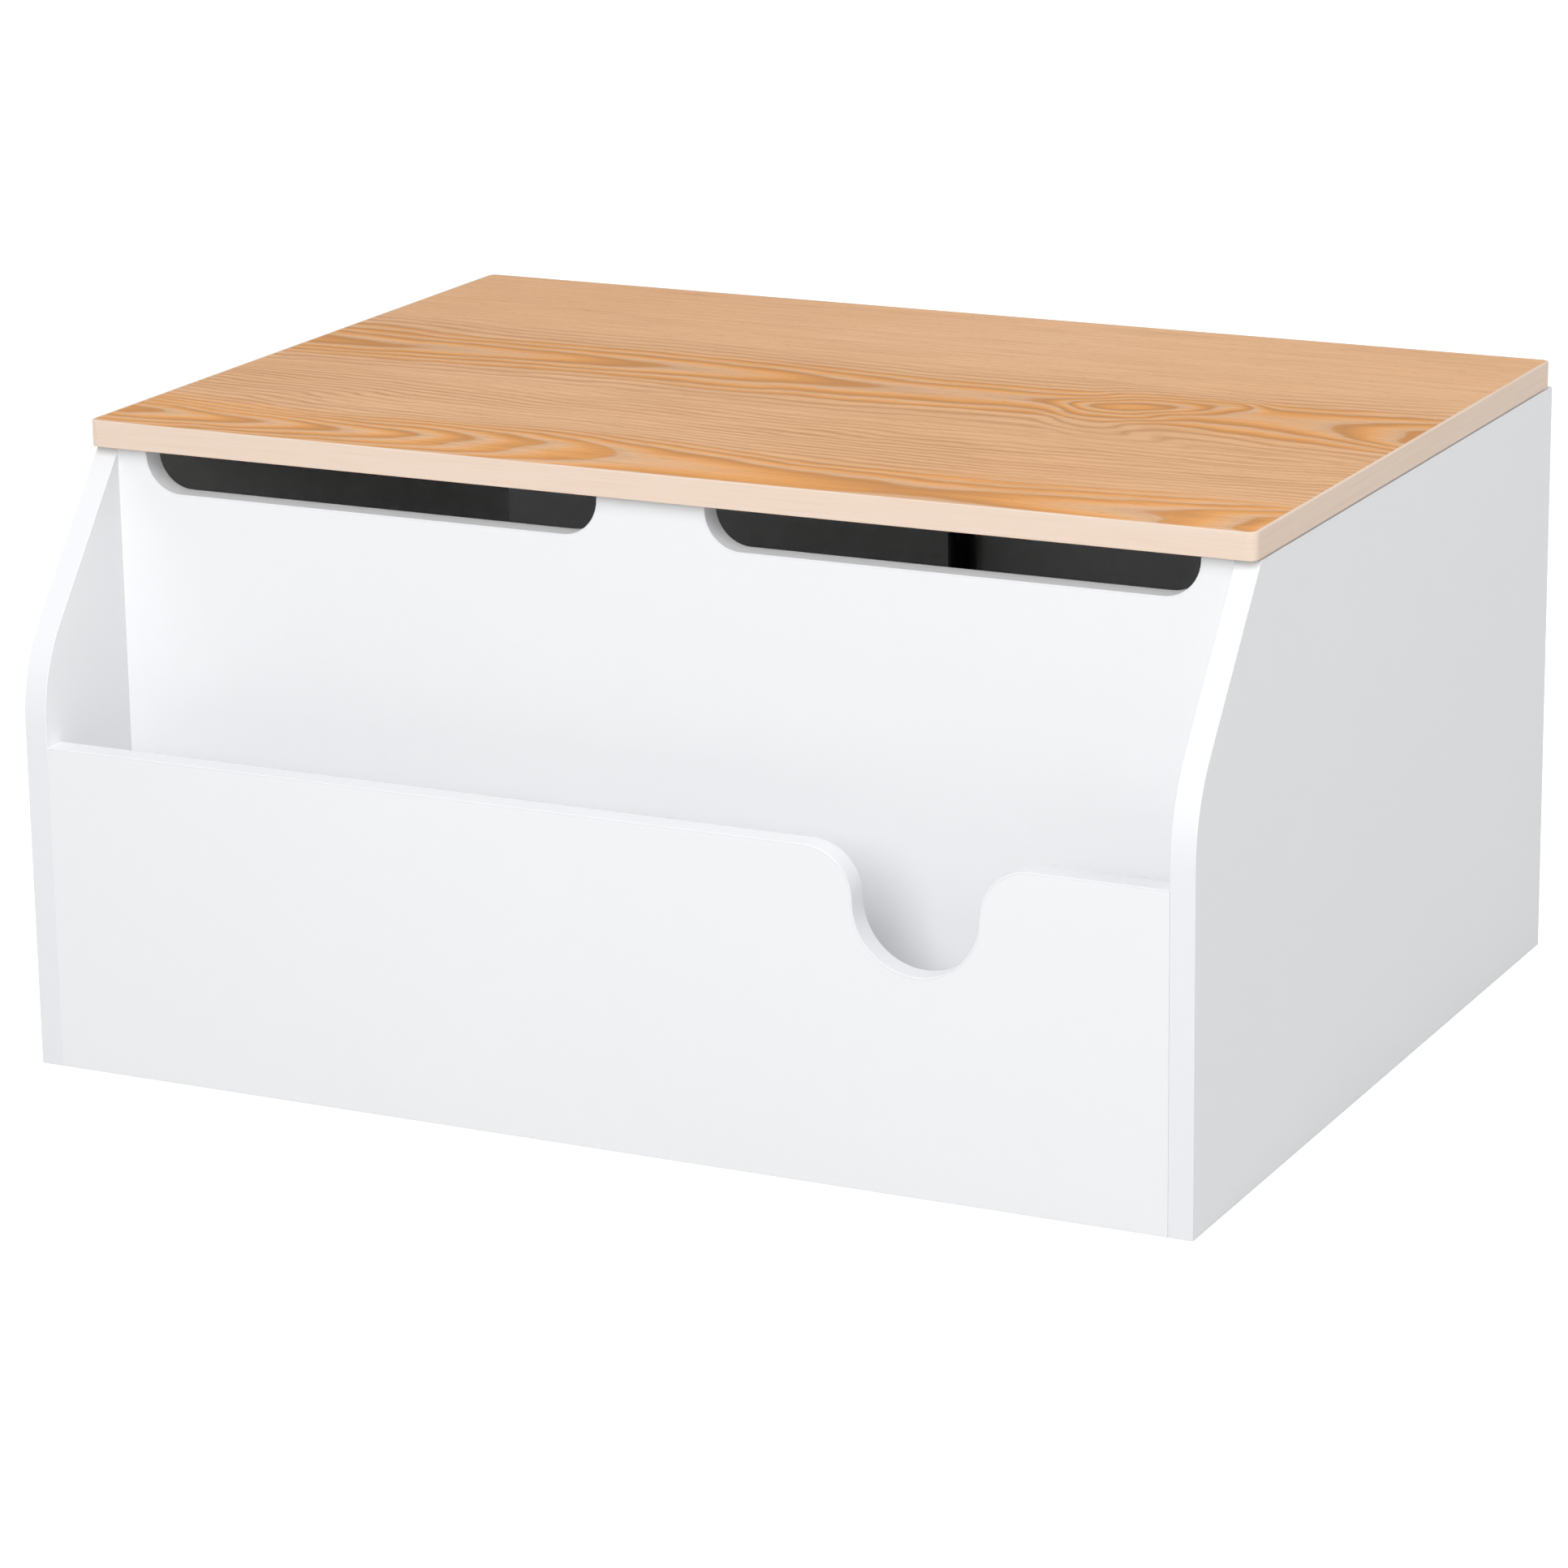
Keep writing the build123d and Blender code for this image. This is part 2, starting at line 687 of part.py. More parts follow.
def make_stay_rod():
    """The rod with its piston inside the tube, and the upper socket and ball stud that it carries."""
    piston_end = piston_start + piston_length
    top = stay_closed_length - thread_bottom - slip
    rivet_start = piston_start - tail_rivet
    rivet = [(0, rivet_start), (rod_radius, rivet_start), (rod_radius, piston_start)]
    tail = [(tail_radius, piston_start), (tail_radius, piston_end)]
    shaft = [(rod_radius, piston_end), (rod_radius, socket_start)]
    end = [(rod_radius - slip, socket_start), (rod_radius - slip, top), (0, top)]
    rod = turned(rivet + tail + shaft + end)
    rod = Pos(stay_axis_side, stay_y, lower_pivot_z) * rod
    piston = bar(tube_radius - tube_wall - running, on_stay(piston_start), (0, 0, 1), piston_length)
    piston = fillet(piston.edges().filter_by(GeomType.CIRCLE), piston_round)
    piston -= bar(tail_radius + slip, on_stay(piston_start - 1), (0, 0, 1), piston_length + 2)
    upper = on_stay(stay_closed_length)
    save("stay_rod", rod)
    save("stay_piston", piston)
    save("stay_upper_socket", ball_socket(upper, -1))
    save("stay_lid_stud", ball_stud(upper, open_pivot_gap))


def bracket_flange(centre, direction, reach):
    """The bracket's upright ear, from round the ball's axis to its plate."""
    ear = bar(flange_width / 2, Vector(0, centre.Y, centre.Z), (1, 0, 0), bracket)
    far = centre + direction * reach
    half = flange_width / 2
    spread = Vector(0, direction.Z, direction.Y) * half
    near_y, far_y = sorted((centre.Y - abs(spread.Y), far.Y + abs(spread.Y)))
    near_z, far_z = sorted((centre.Z - abs(spread.Z), far.Z + abs(spread.Z)))
    web = block(0, bracket, near_y, far_y, near_z, far_z)
    return ear + web - bar(stud_radius, Vector(-1, centre.Y, centre.Z), (1, 0, 0), bracket + 2)


def make_stay_brackets():
    lower, upper = on_stay(0), on_stay(stay_closed_length)
    half = bracket_screw_pitch / 2 + bracket_margin
    wall = block(0, bracket_width, back_inner - bracket, back_inner, lower.Z - half, lower.Z + half)
    wall = fillet(wall.edges().filter_by(Axis.Y).group_by(Axis.X)[-1], bracket_round)
    wall += bracket_flange(lower, Vector(0, 1, 0), stay_from_back)
    lid_side = block(0, bracket_width, stay_y - half, stay_y + half, lid_under - bracket, lid_under)
    lid_side = fillet(lid_side.edges().filter_by(Axis.Z).group_by(Axis.X)[-1], bracket_round)
    lid_side += bracket_flange(upper, Vector(0, 0, 1), stay_drop)
    for seat in wall_bracket_screws():
        wall -= seat * bracket_screw_hole()
    for seat in lid_bracket_screws():
        lid_side -= seat * bracket_screw_hole()
    screw = pan_screw(bracket_pan_screw_radius, bracket_screw_length)
    save("stay_wall_bracket", wall)
    save("stay_lid_bracket", lid_side)
    save("stay_wall_stud", ball_stud(lower, 0) + riveted_shank(lower))
    save("stay_lid_rivet", riveted_shank(upper))
    save("stay_wall_screws", group(seat * screw for seat in wall_bracket_screws()))
    save("stay_lid_screws", group(seat * screw for seat in lid_bracket_screws()))


def print_motion():
    """How far the stay swings and lengthens as the lid opens fully."""
    turn = radians(lid_open_angle)
    y, z = stay_y - axis_y, upper_pivot_z - axis_z
    open_y = axis_y + y * cos(turn) + z * sin(turn)
    open_z = axis_z - y * sin(turn) + z * cos(turn)
    rise, run = open_z - lower_pivot_z, open_y - stay_y
    stroke = hypot(rise, run) - stay_closed_length
    print(f"lid axis y {axis_y:.3f} z {axis_z:.3f}, stay pivot y {stay_y:.3f} z {lower_pivot_z:.3f}")
    print(f"stay swing {degrees(atan2(run, rise)):.4f} deg, stroke {stroke:.4f} mm")


os.makedirs("parts", exist_ok=True)
make_sides()
make_fronts()
make_back()
make_bottom()
make_fittings()
make_bumpers()
make_lid()
make_hinges()
make_stay_body()
make_stay_rod()
make_stay_brackets()
print_motion()
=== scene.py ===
"""Finishes, floor, studio light and camera for the toy box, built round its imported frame."""

from math import cos, radians, sin

import bmesh
import bpy
from mathutils import Matrix, Vector

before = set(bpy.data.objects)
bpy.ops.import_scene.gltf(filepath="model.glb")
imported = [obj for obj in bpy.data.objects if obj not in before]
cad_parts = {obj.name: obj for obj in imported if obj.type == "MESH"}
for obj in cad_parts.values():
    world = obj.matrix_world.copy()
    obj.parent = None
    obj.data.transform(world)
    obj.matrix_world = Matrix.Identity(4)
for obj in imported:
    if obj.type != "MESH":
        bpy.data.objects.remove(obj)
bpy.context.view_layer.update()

MM = 0.001
PER_METRE = 1000.0  # millimetres
WHITE = (1.0, 1.0, 1.0, 1.0)


# ---------------------------------------------------------------- node tools

def paint(red, green, blue):
    """A paint-chart colour of 0 to 255 as the linear colour that a shader takes."""
    channels = []
    for value in (red, green, blue):
        share = value / 255
        channels.append(share / 12.92 if share <= 0.04045 else ((share + 0.055) / 1.055) ** 2.4)
    return (*channels, 1.0)


def plug_in(tree, socket, value):
    """Joins a node's output to a socket, or sets a plain value on it."""
    if isinstance(value, bpy.types.NodeSocket):
        tree.links.new(value, socket)
    else:
        socket.default_value = value


def add(tree, kind, settings, **inputs):
    """A new node with its settings and its named inputs."""
    made = tree.nodes.new("ShaderNode" + kind)
    for name, value in settings.items():
        setattr(made, name, value)
    for name, value in inputs.items():
        plug_in(tree, made.inputs[name.replace("_", " ")], value)
    return made


def work(tree, operation, *values):
    """One sum on numbers."""
    made = add(tree, "Math", {"operation": operation})
    for socket, value in zip(made.inputs, values):
        plug_in(tree, socket, value)
    return made.outputs[0]


def blend_colours(tree, share, first, second):
    """The first colour going over to the second by a share."""
    made = add(tree, "Mix", {"data_type": "RGBA"})
    plug_in(tree, made.inputs[0], share)
    plug_in(tree, made.inputs[6], first)
    plug_in(tree, made.inputs[7], second)
    return made.outputs[2]


def place(tree, scale=(1, 1, 1), shift=(0, 0, 0)):
    """The piece's own coordinates, stretched and shifted."""
    own = add(tree, "TexCoord", {}).outputs["Object"]
    return add(tree, "Mapping", {}, Vector=own, Scale=scale, Location=shift).outputs[0]


def noise(tree, scale, stretch=(1, 1, 1), detail=2.0, shift=(0, 0, 0), roughness=0.5):
    """Soft cloudy variation, 0 to 1, with so many blotches to the metre."""
    made = add(tree, "TexNoise", {}, Vector=place(tree, stretch, shift),
               Scale=scale, Detail=detail, Roughness=roughness)
    return made.outputs["Fac"]


def steps(tree, value, *stops):
    """A ramp through (place, strength) stops."""
    made = add(tree, "ValToRGB", {}, Fac=value)
    ramp = made.color_ramp
    while len(ramp.elements) < len(stops):
        ramp.elements.new(0.5)
    for stop, (position, strength) in zip(ramp.elements, stops):
        stop.position = position
        stop.color = (strength, strength, strength, 1.0)
    return made.outputs["Color"]


def between(tree, value, low, high, low_out=0.0, high_out=1.0):
    """A value's range taken smoothly over to another range."""
    made = add(tree, "MapRange", {"interpolation_type": "SMOOTHSTEP"}, Value=value)
    for name, number in (("From Min", low), ("From Max", high), ("To Min", low_out), ("To Max", high_out)):
        made.inputs[name].default_value = number
    return made.outputs[0]


def raise_surface(tree, shader, height, depth, strength=1.0, under=None):
    """Lifts the surface by a height of 0 to 1 times a depth in metres."""
    made = add(tree, "Bump", {}, Height=height, Distance=depth, Strength=strength)
    if under is not None:
        tree.links.new(under, made.inputs["Normal"])
    tree.links.new(made.outputs[0], shader.inputs["Normal"])
    return made.outputs[0]


def finish(name, **values):
    """A new surface finish with plain values on its shader."""
    material = bpy.data.materials.new(name)
    material.use_nodes = True
    tree = material.node_tree
    shader = tree.nodes["Principled BSDF"]
    for socket, value in values.items():
        shader.inputs[socket.replace("_", " ")].default_value = value
    return material, tree, shader


def roughen(tree, shader, middle, spread, scale, stretch=(1, 1, 1)):
    """Makes the gloss wander a little about its middle."""
    wander = noise(tree, scale, stretch, detail=3.0)
    plug_in(tree, shader.inputs["Roughness"],
            work(tree, "MULTIPLY_ADD", wander, 2 * spread, middle - spread))


# ---------------------------------------------------------------- board and laminate

BOARD_WHITE = paint(243, 244, 245)
BOARD_SHADE = paint(240, 241, 243)


def white_board():
    """Melamine-faced board: satin white with a fine orange peel."""
    material, tree, shader = finish("white_melamine", Specular_IOR_Level=0.42)
    cloud = noise(tree, 5.0, detail=3.0)
    plug_in(tree, shader.inputs["Base Color"], blend_colours(tree, cloud, BOARD_WHITE, BOARD_SHADE))
    roughen(tree, shader, 0.40, 0.05, 60.0)
    peel = raise_surface(tree, shader, noise(tree, 900.0, detail=1.0), 0.02 * MM, 0.5)
    raise_surface(tree, shader, noise(tree, 60.0), 0.03 * MM, 0.6, under=peel)
    return material


def white_edge_band():
    """Plastic edge band: a shade greyer than the board, with a satin skin."""
    material, tree, shader = finish("white_edge_band", Specular_IOR_Level=0.25)
    cloud = noise(tree, 14.0, detail=2.0)
    plug_in(tree, shader.inputs["Base Color"],
            blend_colours(tree, cloud, paint(238, 239, 241), paint(235, 236, 239)))
    roughen(tree, shader, 0.44, 0.05, 90.0)
    raise_surface(tree, shader, noise(tree, 700.0, detail=1.0), 0.015 * MM, 0.5)
    return material


LAMINATE_PALE = paint(235, 179, 126)
LAMINATE_LIGHT = paint(247, 200, 155)
LAMINATE_DEEP = paint(248, 167, 70)
LAMINATE_LINE = paint(176, 120, 68)
LAMINATE_GHOST = paint(233, 191, 150)  # the pale wood between two rings

LID_LENGTH = 600.0  # millimetres
MIDDLE_HEART = 43.0  # where each tree's heart line lies across the lid, in millimetres
FRONT_HEART = -148.0


def heart_depth(tree, along, points, deepest):
    """How far the tree's heart lies under the veneer, along its length, in millimetres."""
    share = work(tree, "MULTIPLY_ADD", along, 1 / LID_LENGTH, 0.5)
    made = add(tree, "FloatCurve", {}, Value=share)
    curve = made.mapping.curves[0]
    curve.points[0].location = points[0]
    curve.points[1].location = points[-1]
    for x, y in points[1:-1]:
        curve.points.new(x, y)
    made.mapping.update()
    return work(tree, "MULTIPLY", made.outputs[0], deepest)


def growth_rings(tree, across, depth, heart, squeeze, spacing):
    """Rings that a flat cut through the tree lays open.

    Gives each point's phase in its ring, 0 to 1, and its distance off the heart line."""
    offset = work(tree, "MULTIPLY", work(tree, "SUBTRACT", across, heart), squeeze)
    squares = work(tree, "ADD", work(tree, "POWER", work(tree, "ABSOLUTE", offset), 2.0),
                   work(tree, "POWER", depth, 2.0))
    distance = work(tree, "POWER", squares, 0.5)
    phase = work(tree, "FRACT", work(tree, "DIVIDE", distance, spacing))
    return phase, offset


def wood_grain_laminate():
    """Printed wood-grain laminate: two flat-sawn figures with fine straight grain between them."""
    material, tree, shader = finish("wood_grain_laminate", Specular_IOR_Level=0.35)
    own = add(tree, "SeparateXYZ", {}, Vector=place(tree, (PER_METRE, PER_METRE, PER_METRE)))
    along, across = own.outputs["X"], own.outputs["Y"]
    drift = work(tree, "MULTIPLY_ADD", noise(tree, 1.0, (3.4, 8.0, 1.0), 1.0), 64.0, -32.0)
    ripple = work(tree, "MULTIPLY_ADD", noise(tree, 1.0, (15.0, 38.0, 1.0), 2.0, (3, 1, 0)), 15.0, -7.5)
    bent = work(tree, "ADD", across, work(tree, "ADD", drift, ripple))

    sway = work(tree, "MULTIPLY_ADD", noise(tree, 1.0, (9.0, 26.0, 1.0), 1.0, (7, 3, 0)), 90.0, -45.0)
    length = work(tree, "ADD", along, sway)
    middle_depth = heart_depth(tree, length, (
        (0.0, 0.44), (0.30, 0.58), (0.58, 0.74), (0.69, 0.72), (0.77, 0.42), (0.85, 0.76), (1.0, 0.56)), 60.0)
    middle, middle_off = growth_rings(tree, bent, middle_depth, MIDDLE_HEART, 1.05, 7.4)
    front_depth = heart_depth(tree, length, (
        (0.0, 0.24), (0.22, 0.50), (0.45, 0.84), (0.60, 0.92), (0.80, 0.92), (1.0, 0.66)), 62.0)
    front, front_off = growth_rings(tree, bent, front_depth, FRONT_HEART, 1.15, 6.0)

    band = ((0.0, 0.0), (0.20, 0.20), (0.48, 0.90), (0.86, 1.0), (0.91, 0.0))
    edge = ((0.0, 0.35), (0.05, 0.0), (0.80, 0.0), (0.89, 1.0), (0.94, 0.0), (1.0, 0.35))
    ghost = ((0.0, 1.0), (0.14, 0.25), (0.30, 0.0), (0.90, 0.0), (0.95, 1.0))
    swell = ((0.0, 0.10), (0.40, 0.0), (0.78, 1.0), (1.0, 0.10))
    patchy = between(tree, noise(tree, 1.0, (7.0, 30.0, 1.0), 3.0, (5, 9, 0)), 0.36, 0.60)

    near_middle = between(tree, work(tree, "ABSOLUTE", middle_off), 34.0, 48.0, 1.0, 0.0)
    near_front = between(tree, work(tree, "ABSOLUTE", front_off), 34.0, 56.0, 1.0, 0.0)
    far_middle = between(tree, work(tree, "ABSOLUTE", middle_off), 48.0, 84.0, 1.0, 0.0)
    far_front = between(tree, front_off, 110.0, 180.0, 1.0, 0.0)

    deep = work(tree, "MAXIMUM",
                work(tree, "MULTIPLY", steps(tree, middle, *band), near_middle),
                work(tree, "MULTIPLY", steps(tree, front, *band), near_front))
    pale = work(tree, "MAXIMUM",
                work(tree, "MULTIPLY", steps(tree, middle, *ghost), near_middle),
                work(tree, "MULTIPLY", steps(tree, front, *ghost), near_front))
    lines = work(tree, "MAXIMUM",
                 work(tree, "MULTIPLY", steps(tree, middle, *swell), far_middle),
                 work(tree, "MULTIPLY", steps(tree, front, *swell),
                      work(tree, "MULTIPLY", far_front, between(tree, patchy, 0.0, 1.0, 0.45, 1.0))))

    rims = work(tree, "MAXIMUM",
                work(tree, "MULTIPLY", steps(tree, middle, *edge), near_middle),
                work(tree, "MULTIPLY", steps(tree, front, *edge), near_front))

    fibre = noise(tree, 1.0, (14.0, 1500.0, 1.0), 3.0, (1, 7, 0), 0.6)
    pores = between(tree, noise(tree, 1.0, (150.0, 1900.0, 1.0), 2.0, (9, 2, 0)), 0.62, 0.70)
    sheen = noise(tree, 1.0, (3.0, 5.0, 1.0), 2.0, (2, 4, 0))

    ground = blend_colours(tree, sheen, LAMINATE_PALE, LAMINATE_LIGHT)
    ground = blend_colours(tree, work(tree, "MULTIPLY", pale, 0.66), ground, LAMINATE_GHOST)
    ground = blend_colours(tree, work(tree, "MULTIPLY", deep, 0.88), ground, LAMINATE_DEEP)
    ground = blend_colours(tree, work(tree, "MULTIPLY", lines, 0.62), ground, LAMINATE_LINE)
    ground = blend_colours(tree, work(tree, "MULTIPLY", rims, 0.32), ground, LAMINATE_LINE)
    ground = blend_colours(tree, between(tree, fibre, 0.40, 0.72, 0.0, 0.46), ground, LAMINATE_LINE)
    ground = blend_colours(tree, work(tree, "MULTIPLY", pores, 0.55), ground, LAMINATE_LINE)
    plug_in(tree, shader.inputs["Base Color"], ground)

    roughen(tree, shader, 0.46, 0.06, 30.0, (1, 12, 1))
    grooves = work(tree, "SUBTRACT", fibre, work(tree, "MULTIPLY", pores, 0.6))
    raise_surface(tree, shader, grooves, 0.04 * MM, 0.5)
    return material


def pale_edge_band():
    """Cream wood-print band round the lid, its grain running along the edge."""
    material, tree, shader = finish("pale_edge_band", Specular_IOR_Level=0.38)
    grain = noise(tree, 1.0, (18.0, 18.0, 1300.0), 3.0, roughness=0.6)
    streak = noise(tree, 1.0, (6.0, 6.0, 420.0), 2.0, (4, 4, 0))
    base = blend_colours(tree, streak, paint(238, 218, 202), paint(234, 210, 190))
    plug_in(tree, shader.inputs["Base Color"],
            blend_colours(tree, between(tree, grain, 0.45, 0.75, 0.0, 0.30), base, paint(221, 189, 160)))
    roughen(tree, shader, 0.42, 0.05, 60.0)
    raise_surface(tree, shader, grain, 0.02 * MM, 0.4)
    return material


def backing_laminate():
    """Plain warm-white balancing laminate under the lid."""
    material, tree, shader = finish("backing_laminate", Specular_IOR_Level=0.36)
    cloud = noise(tree, 8.0, detail=3.0)
    fleck = between(tree, noise(tree, 500.0, (0.3, 1.0, 1.0), 2.0), 0.58, 0.70, 0.0, 0.35)
    base = blend_colours(tree, cloud, paint(238, 232, 222), paint(232, 225, 213))
    plug_in(tree, shader.inputs["Base Color"], blend_colours(tree, fleck, base, paint(214, 204, 188)))
    roughen(tree, shader, 0.50, 0.05, 50.0)
    raise_surface(tree, shader, noise(tree, 800.0, detail=1.0), 0.02 * MM, 0.5)
    return material


def lid_core():
    """Chipboard: pressed flakes of mixed size in tan and brown."""
    material, tree, shader = finish("chipboard", Specular_IOR_Level=0.2)
    flakes = add(tree, "TexVoronoi", {}, Vector=place(tree, (1.0, 2.2, 1.6)), Scale=520.0, Randomness=1.0)
    dust = noise(tree, 1800.0, detail=3.0)
    tone = work(tree, "MULTIPLY_ADD", dust, 0.4, work(tree, "MULTIPLY", flakes.outputs["Color"], 0.6))
    base = blend_colours(tree, tone, paint(150, 108, 68), paint(214, 176, 128))
    plug_in(tree, shader.inputs["Base Color"], base)
    shader.inputs["Roughness"].default_value = 0.85
    raise_surface(tree, shader, flakes.outputs["Distance"], 0.15 * MM, 0.7)
    return material


def beech():
    """Turned beech: pinkish tan with short dark flecks."""
    material, tree, shader = finish("beech", Specular_IOR_Level=0.3)
    grain = noise(tree, 1.0, (60.0, 900.0, 900.0), 3.0, roughness=0.6)
    fleck = between(tree, noise(tree, 1.0, (500.0, 2600.0, 2600.0), 1.0, (3, 0, 0)), 0.62, 0.70, 0.0, 0.7)
    base = blend_colours(tree, grain, paint(222, 184, 140), paint(196, 150, 106))
    plug_in(tree, shader.inputs["Base Color"], blend_colours(tree, fleck, base, paint(146, 98, 62)))
    roughen(tree, shader, 0.60, 0.08, 200.0)
    raise_surface(tree, shader, grain, 0.05 * MM, 0.6)
    return material


# ---------------------------------------------------------------- metal, plastic and rubber

def metal(name, light, dark, middle, spread, scale, stretch=(1, 1, 1), depth=0.01, **values):
    """A bare or plated metal with a wandering tone, a wandering gloss and fine tool marks."""
    material, tree, shader = finish(name, Metallic=1.0, **values)
    tone = noise(tree, scale, stretch, detail=4.0, roughness=0.6)
    plug_in(tree, shader.inputs["Base Color"], blend_colours(tree, tone, light, dark))
    roughen(tree, shader, middle, spread, scale * 0.6, stretch)
    raise_surface(tree, shader, tone, depth * MM, 0.4)
    return material


def hinge_steel():
    """Rolled strip, zinc plated, drawn along the leaf."""
    return metal("zinc_plated_steel", paint(214, 217, 220), paint(176, 180, 186), 0.34, 0.08, 420.0,
                 (1.0, 0.25, 1.0))


def screw_steel():
    """Plated screw wire."""
    return metal("screw_steel", paint(206, 208, 206), paint(158, 160, 160), 0.30, 0.10, 900.0)


def fitting_zinc():
    """Die-cast zinc: dull grey with a fine cast skin."""
    return metal("die_cast_zinc", paint(186, 188, 190), paint(140, 142, 146), 0.48, 0.10, 1300.0, depth=0.03)


def chrome_rod():
    """Hard chrome, honed round the rod."""
    return metal("hard_chrome", paint(226, 228, 231), paint(206, 208, 212), 0.12, 0.05, 300.0,
                 (1.0, 1.0, 9.0), 0.004)


def guide_brass():
    """Brass, turned round the rod."""
    return metal("turned_brass", paint(226, 190, 116), paint(190, 150, 82), 0.30, 0.08, 700.0,
                 (1.0, 1.0, 4.0))


def piston_alloy():
    """Light alloy, turned like the guide."""
    return metal("turned_alloy", paint(212, 213, 214), paint(182, 184, 187), 0.32, 0.08, 700.0,
                 (1.0, 1.0, 4.0))


def black_enamel():
    """Stoved black paint on the stay's tube: glossy, with faint runs and dust."""
    material, tree, shader = finish("black_enamel", Specular_IOR_Level=0.5, Coat_Weight=0.4,
                                    Coat_Roughness=0.12)
    cloud = noise(tree, 90.0, detail=3.0)
    dust = between(tree, noise(tree, 2400.0, detail=1.0), 0.68, 0.76, 0.0, 0.25)
    base = blend_colours(tree, cloud, paint(17, 17, 18), paint(26, 26, 28))
    plug_in(tree, shader.inputs["Base Color"], blend_colours(tree, dust, base, paint(70, 70, 72)))
    roughen(tree, shader, 0.26, 0.06, 120.0, (1, 1, 0.3))
    raise_surface(tree, shader, noise(tree, 260.0, (1, 1, 0.4)), 0.02 * MM, 0.6)
    return material


def black_nylon():
    """Moulded glass-filled nylon: matt black with a fine grain."""
    material, tree, shader = finish("black_nylon", Specular_IOR_Level=0.4)
    grain = noise(tree, 2200.0, detail=2.0)
    plug_in(tree, shader.inputs["Base Color"],
            blend_colours(tree, grain, paint(24, 24, 25), paint(38, 38, 40)))
    roughen(tree, shader, 0.52, 0.08, 500.0)
    raise_surface(tree, shader, grain, 0.04 * MM, 0.7)
    return material


def bumper_rubber():
    """Clear soft buffer: milky, with a slightly dusty face."""
    material, tree, shader = finish("clear_rubber", Transmission_Weight=0.45, IOR=1.42,
                                    Specular_IOR_Level=0.45)
    haze = noise(tree, 700.0, detail=3.0)
    plug_in(tree, shader.inputs["Base Color"],
            blend_colours(tree, haze, paint(226, 228, 230), paint(204, 206, 208)))
    roughen(tree, shader, 0.38, 0.08, 900.0)
    raise_surface(tree, shader, haze, 0.02 * MM, 0.5)
    return material


FINISHES = {
    "white_board": white_board,
    "white_edge_band": white_edge_band,
    "lid_core": lid_core,
    "wood_grain_laminate": wood_grain_laminate,
    "backing_laminate": backing_laminate,
    "pale_edge_band": pale_edge_band,
    "hinge_steel": hinge_steel,
    "screw_steel": screw_steel,
    "black_nylon": black_nylon,
    "black_enamel": black_enamel,
    "guide_brass": guide_brass,
    "piston_alloy": piston_alloy,
    "chrome_rod": chrome_rod,
    "fitting_zinc": fitting_zinc,
    "beech": beech,
    "bumper_rubber": bumper_rubber,
}


def finish_nodes():
    """Gives every carried-over node the full finish of its slot."""
    made = {slot: make() for slot, make in FINISHES.items()}
    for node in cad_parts.values():
        for holder in node.material_slots:
            holder.material = made[holder.material.name.split(".")[0]]


# ---------------------------------------------------------------- floor, light and camera

FLOOR_REACH = 14.0
FLOOR_LIFT = 0.8


def floor_finish():
    """Pale studio floor."""
    material, tree, shader = finish("studio_floor", Specular_IOR_Level=0.05, Roughness=0.9,
                                    Emission_Color=WHITE)
    seen = add(tree, "LightPath", {}).outputs["Is Camera Ray"]
    plug_in(tree, shader.inputs["Emission Strength"], work(tree, "MULTIPLY", seen, FLOOR_LIFT))
    cloud = noise(tree, 0.6, detail=1.0)
    plug_in(tree, shader.inputs["Base Color"],
            blend_colours(tree, cloud, paint(190, 190, 190), paint(187, 187, 188)))
    return material


def lay_floor():
    """A plain pale floor at the box's feet."""
    mesh = bpy.data.meshes.new("studio_floor")
    shape = bmesh.new()
    bmesh.ops.create_grid(shape, x_segments=2, y_segments=2, size=FLOOR_REACH)
    bmesh.ops.translate(shape, verts=shape.verts, vec=(0, 0, -0.02 * MM))
    shape.to_mesh(mesh)
    shape.free()
    floor = bpy.data.objects.new("studio_floor", mesh)
    bpy.context.scene.collection.objects.link(floor)
    mesh.materials.append(floor_finish())


BOX_MIDDLE = (0.0, 0.0, 0.15)
LAMP_REACH = 3.2  # metres from the box's middle
CAMERA_PLACE = (1.1631, -2.38895, 0.8758)
CAMERA_LENS = 128.69
CAMERA_TURN, CAMERA_FALL, CAMERA_ROLL = 26.24, 16.03, -0.77


def hang_lamp(name, at, target, power, width, height, mirrored=True):
    """A soft box of the given size and power, turned to a point; glossy surfaces show it when mirrored."""
    data = bpy.data.lights.new(name, "AREA")
    data.shape = "RECTANGLE"
    data.size = width
    data.size_y = height
    data.energy = power
    lamp = bpy.data.objects.new(name, data)
    facing = (Vector(target) - Vector(at)).to_track_quat("-Z", "Y").to_matrix().to_4x4()
    lamp.matrix_world = Matrix.Translation(at) @ facing
    lamp.visible_camera = False
    lamp.visible_glossy = mirrored
    bpy.context.scene.collection.objects.link(lamp)


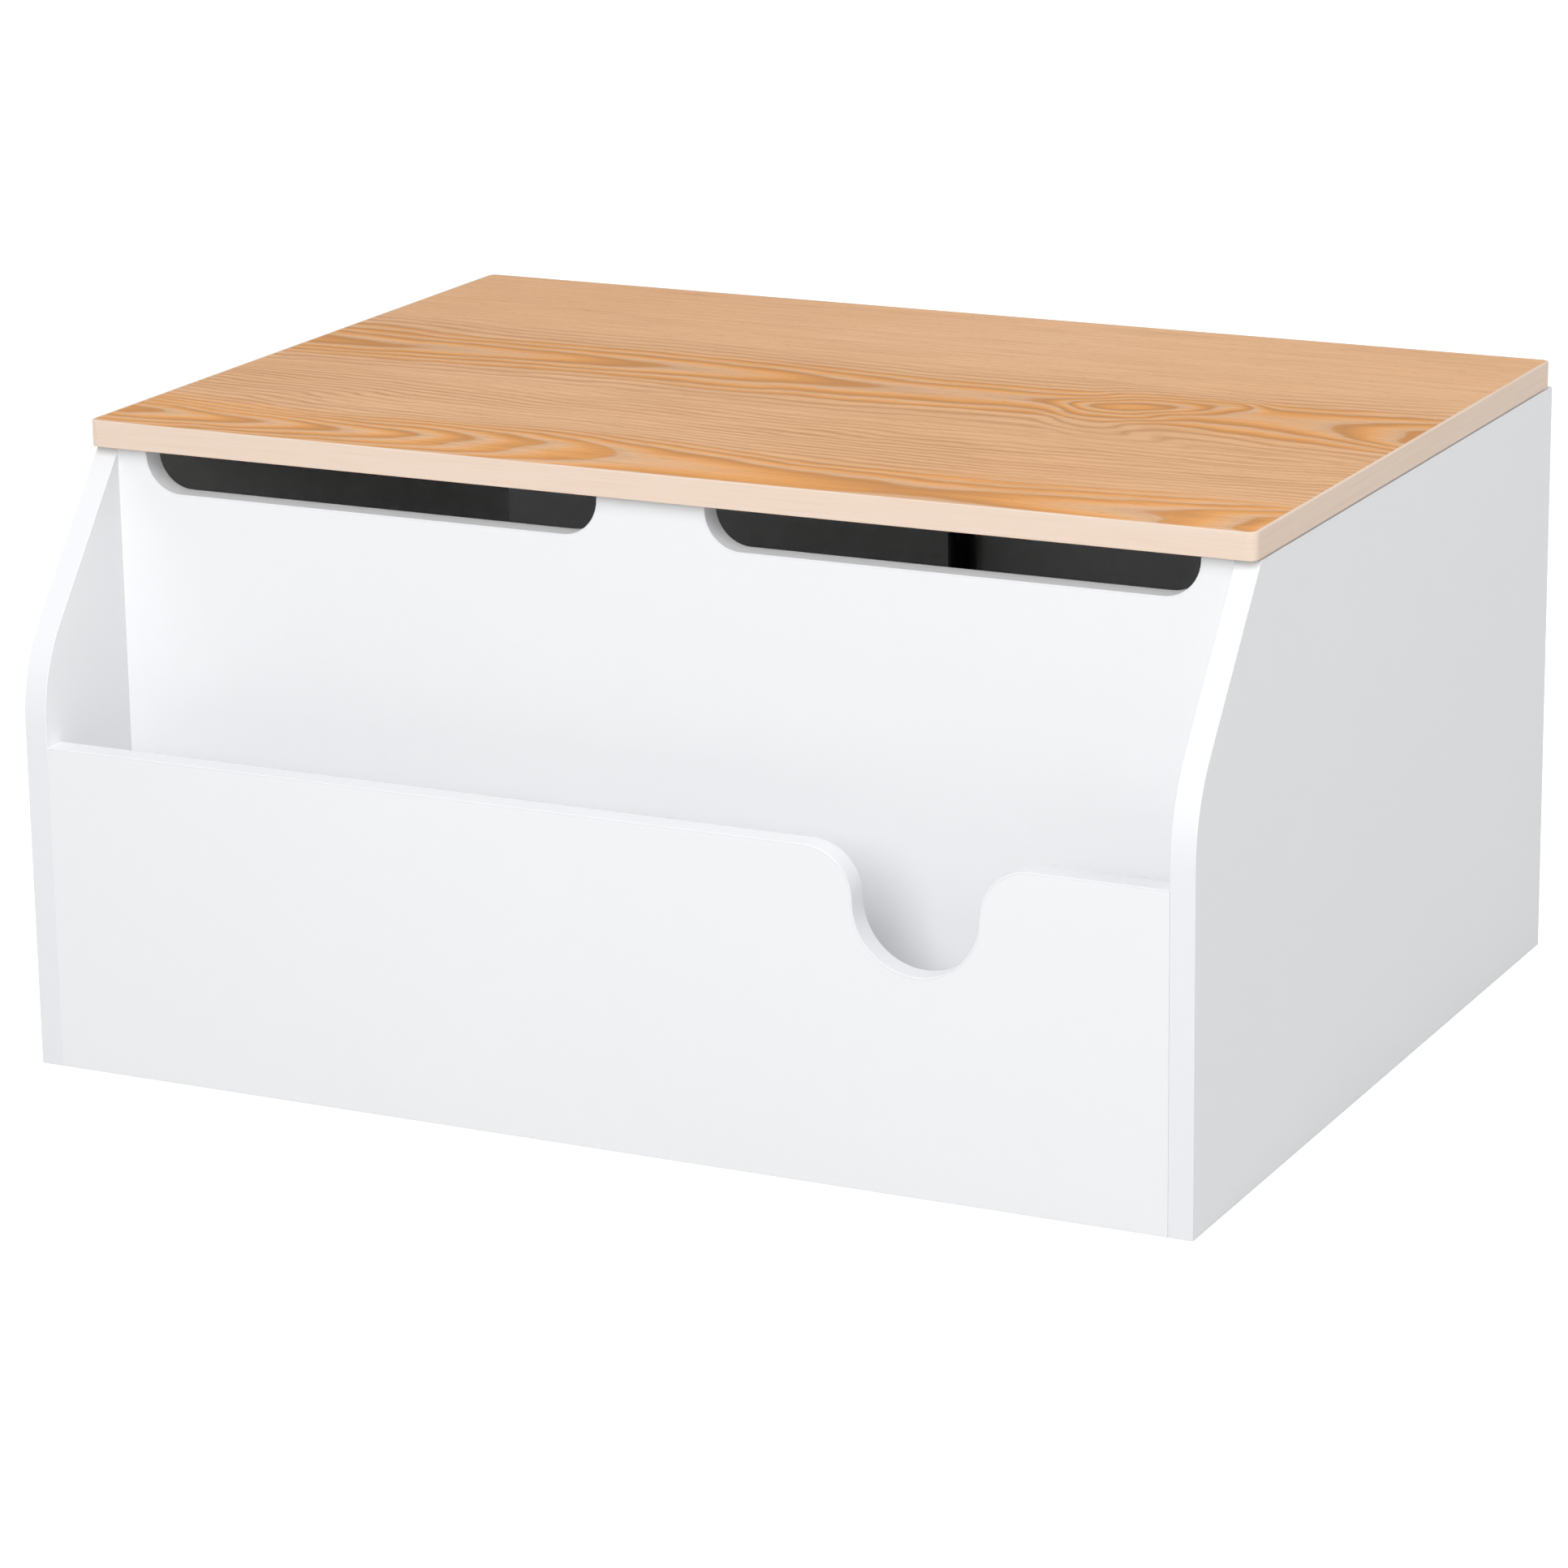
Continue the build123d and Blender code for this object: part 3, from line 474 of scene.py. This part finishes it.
def round_the_box(turn, rise, away):
    """A point round the box: degrees to the right of its front, degrees up and metres away."""
    turn, rise = radians(turn), radians(rise)
    return away * sin(turn) * cos(rise), -away * cos(turn) * cos(rise), away * sin(rise) + BOX_MIDDLE[2]


def light_studio():
    """An even white room, soft boxes high and low in front, one at the right, and fills behind and left."""
    room = bpy.data.worlds.new("white_room")
    room.use_nodes = True
    wall = room.node_tree.nodes["Background"]
    wall.inputs["Color"].default_value = (0.985, 0.992, 1.0, 1.0)
    wall.inputs["Strength"].default_value = 0.43
    bpy.context.scene.world = room
    hang_lamp("high_soft_box", round_the_box(8, 46, LAMP_REACH), BOX_MIDDLE, 35.0, 1.3, 1.3)
    hang_lamp("low_soft_box", round_the_box(8, 25, 3.0), BOX_MIDDLE, 27.0, 1.2, 1.2)
    hang_lamp("right_soft_box", round_the_box(95, 30, LAMP_REACH), BOX_MIDDLE, 31.0, 1.6, 1.6)
    hang_lamp("back_soft_box", round_the_box(180, 8, LAMP_REACH), BOX_MIDDLE, 35.0, 1.6, 0.7,
              mirrored=False)
    hang_lamp("left_soft_box", round_the_box(-98, 8, LAMP_REACH), BOX_MIDDLE, 33.0, 1.6, 0.7,
              mirrored=False)


def stand_camera():
    """The camera, in front and to the right, looking down at the box."""
    turn, fall, roll = radians(CAMERA_TURN), radians(CAMERA_FALL), radians(CAMERA_ROLL)
    forward = Vector((-sin(turn) * cos(fall), cos(turn) * cos(fall), -sin(fall)))
    level = Vector((cos(turn), sin(turn), 0.0))
    upright = level.cross(forward)
    right = level * cos(roll) + upright * sin(roll)
    up = upright * cos(roll) - level * sin(roll)
    data = bpy.data.cameras.new("studio_camera")
    data.sensor_width = 36.0
    data.lens = CAMERA_LENS
    data.clip_start = 0.05
    data.clip_end = 100.0
    camera = bpy.data.objects.new("studio_camera", data)
    facing = Matrix((right, up, -forward)).transposed().to_4x4()
    camera.matrix_world = Matrix.Translation(CAMERA_PLACE) @ facing
    bpy.context.scene.collection.objects.link(camera)
    bpy.context.scene.camera = camera


finish_nodes()
lay_floor()
light_studio()
stand_camera()
bpy.context.scene.view_settings.view_transform = "Standard"
